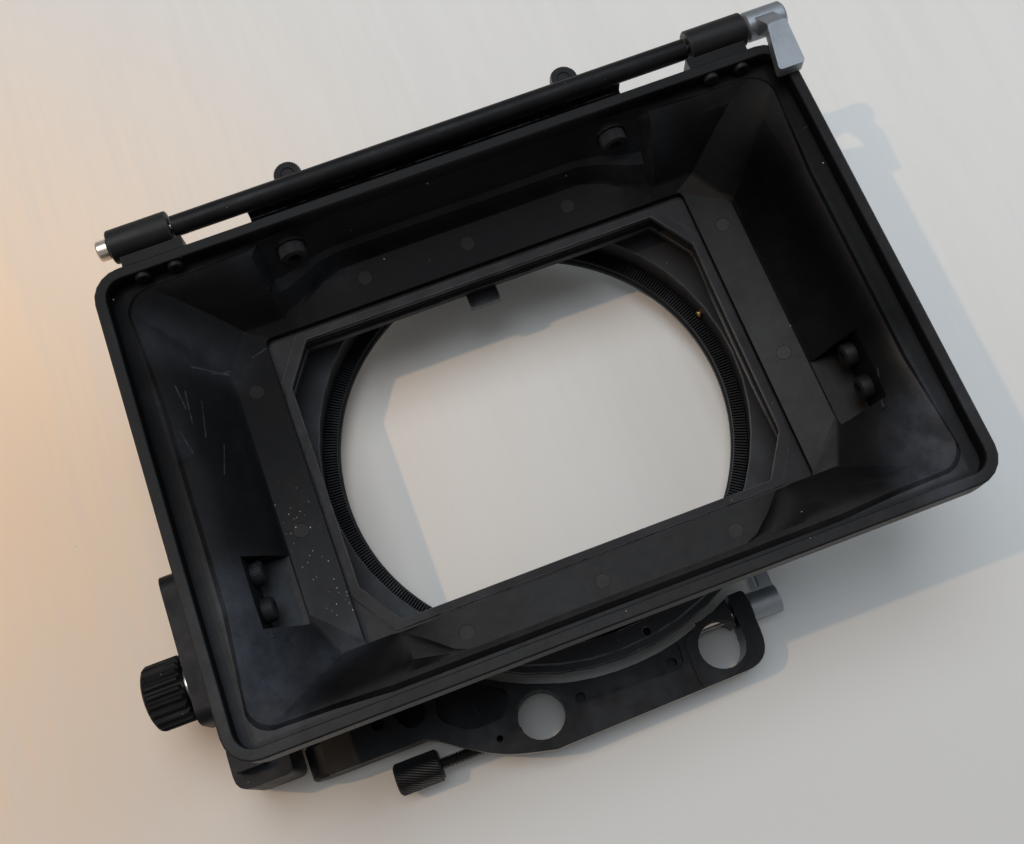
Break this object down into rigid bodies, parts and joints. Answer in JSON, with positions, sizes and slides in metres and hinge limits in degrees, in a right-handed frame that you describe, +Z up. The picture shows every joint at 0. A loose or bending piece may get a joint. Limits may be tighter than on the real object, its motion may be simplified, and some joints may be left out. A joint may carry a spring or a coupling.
{
  "type": "matte box",
  "caption": "Matte box with a moulded hood, filter trays, rotating rear ring, top flag holder and a swing-away bracket for two support rods",
  "frame": {"origin": "on the flat rear face of the rod bracket, midway between the two rod bores and at their height", "axes": "+Z up in use, -Y the way the hood looks, +Y toward the lens and along the rods, +X to the right seen from the front"},
  "size_m": [0.2552, 0.0764, 0.1929],
  "materials": {
    "moulded": "moulded charcoal plastic, matte with a fine grain",
    "frame_metal": "matte black paint on a flat plate",
    "housing": "matte black",
    "clip_plastic": "gloss black",
    "black_anodised": "satin black anodised, with bright worn edges",
    "black_steel": "black oxide",
    "knob_plastic": "gloss black, fluted",
    "satin_metal": "satin silver, bead blasted",
    "bright_steel": "bright machined steel",
    "brass": "plain brass"
  },
  "bodies": {
    "bracket": {"rod_bracket": "black_anodised", "hinge_pin": "bright_steel", "hinge_washer": "bright_steel"},
    "rod_lever": {"rod_lever": "satin_metal", "rod_clamp_bolt": "bright_steel"},
    "rod_screw": {"rod_screw": "black_steel", "rod_screw_tip": "brass"},
    "arm": {"swing_arm": "black_anodised"},
    "box": {"hood_shade": "moulded", "front_frame": "frame_metal", "stage_body": "housing", "rear_housing": "housing", "side_plate": "black_anodised", "flag_block_left": "moulded", "flag_block_right": "moulded", "side_screw_left_upper": "black_steel", "side_screw_left_lower": "black_steel", "side_screw_right_upper": "black_steel", "side_screw_right_lower": "black_steel", "top_screw_left": "black_steel", "top_screw_right": "black_steel", "rim_screw_left_1": "black_steel", "rim_screw_left_2": "black_steel", "rim_screw_right_1": "black_steel", "rim_screw_right_2": "black_steel"},
    "arm_knob": {"arm_knob": "knob_plastic", "arm_knob_stud": "bright_steel", "arm_knob_washer": "bright_steel"},
    "ring": {"rear_ring": "black_steel"},
    "ring_lock": {"ring_lock_knob": "black_steel", "ring_lock_tip": "brass"},
    "tray_front": {"filter_tray_front": "housing"},
    "tray_rear": {"filter_tray_rear": "housing"},
    "clip": {"filter_clip": "clip_plastic"},
    "flag_holder": {"flag_tube": "black_anodised", "flag_plate": "black_anodised"},
    "flag_screw_left": {"flag_screw_left": "black_steel"},
    "flag_screw_right": {"flag_screw_right": "black_steel"},
    "flag_lever": {"flag_lever": "satin_metal", "flag_rod": "bright_steel"}
  },
  "joints": [
    {"name": "swing", "type": "hinge", "parent": "bracket", "child": "arm", "pos_m": [-0.0965, -0.0065, 0.017], "axis": [0, 0, -1], "range_deg": [0, 90]},
    {"name": "height", "type": "slide", "parent": "arm", "child": "box", "axis": [0, 0, 1], "range_m": [0, 0.008]},
    {"name": "arm_knob_turn", "type": "hinge", "parent": "box", "child": "arm_knob", "pos_m": [-0.13, -0.026, 0.044], "axis": [-1, 0, 0], "range_deg": [0, 540]},
    {"name": "ring_turn", "type": "hinge", "parent": "box", "child": "ring", "pos_m": [0, -0.006, 0.085], "axis": [0, 1, 0], "continuous": true},
    {"name": "ring_lock_turn", "type": "hinge", "parent": "box", "child": "ring_lock", "pos_m": [0.07671, -0.0118, 0.10772], "axis": [0.9588, 0, 0.284], "range_deg": [0, 360]},
    {"name": "tray_front_slide", "type": "slide", "parent": "box", "child": "tray_front", "axis": [0, 0, 1], "range_m": [0, 0.11]},
    {"name": "tray_rear_slide", "type": "slide", "parent": "box", "child": "tray_rear", "axis": [0, 0, 1], "range_m": [0, 0.11]},
    {"name": "clip_slide", "type": "slide", "parent": "tray_rear", "child": "clip", "axis": [0, 0, 1], "range_m": [0, 0.004]},
    {"name": "flag_tilt", "type": "hinge", "parent": "box", "child": "flag_holder", "pos_m": [0, -0.066, 0.17], "axis": [1, 0, 0], "range_deg": [-10, 150]},
    {"name": "flag_screw_left_turn", "type": "hinge", "parent": "flag_holder", "child": "flag_screw_left", "pos_m": [-0.046, -0.06, 0.1772], "axis": [0, 1, 0], "range_deg": [0, 720]},
    {"name": "flag_screw_right_turn", "type": "hinge", "parent": "flag_holder", "child": "flag_screw_right", "pos_m": [0.046, -0.06, 0.1772], "axis": [0, 1, 0], "range_deg": [0, 720]},
    {"name": "flag_lever_turn", "type": "hinge", "parent": "box", "child": "flag_lever", "pos_m": [0.11, -0.066, 0.17], "axis": [-1, 0, 0], "range_deg": [0, 100]},
    {"name": "rod_lever_turn", "type": "hinge", "parent": "bracket", "child": "rod_lever", "pos_m": [0.048, -0.0065, 0.008], "axis": [-1, 0, 0], "range_deg": [0, 100]},
    {"name": "rod_screw_turn", "type": "hinge", "parent": "bracket", "child": "rod_screw", "pos_m": [-0.07, -0.0065, -0.0026], "axis": [1, 0, 0], "range_deg": [-720, 360]}
  ]
}
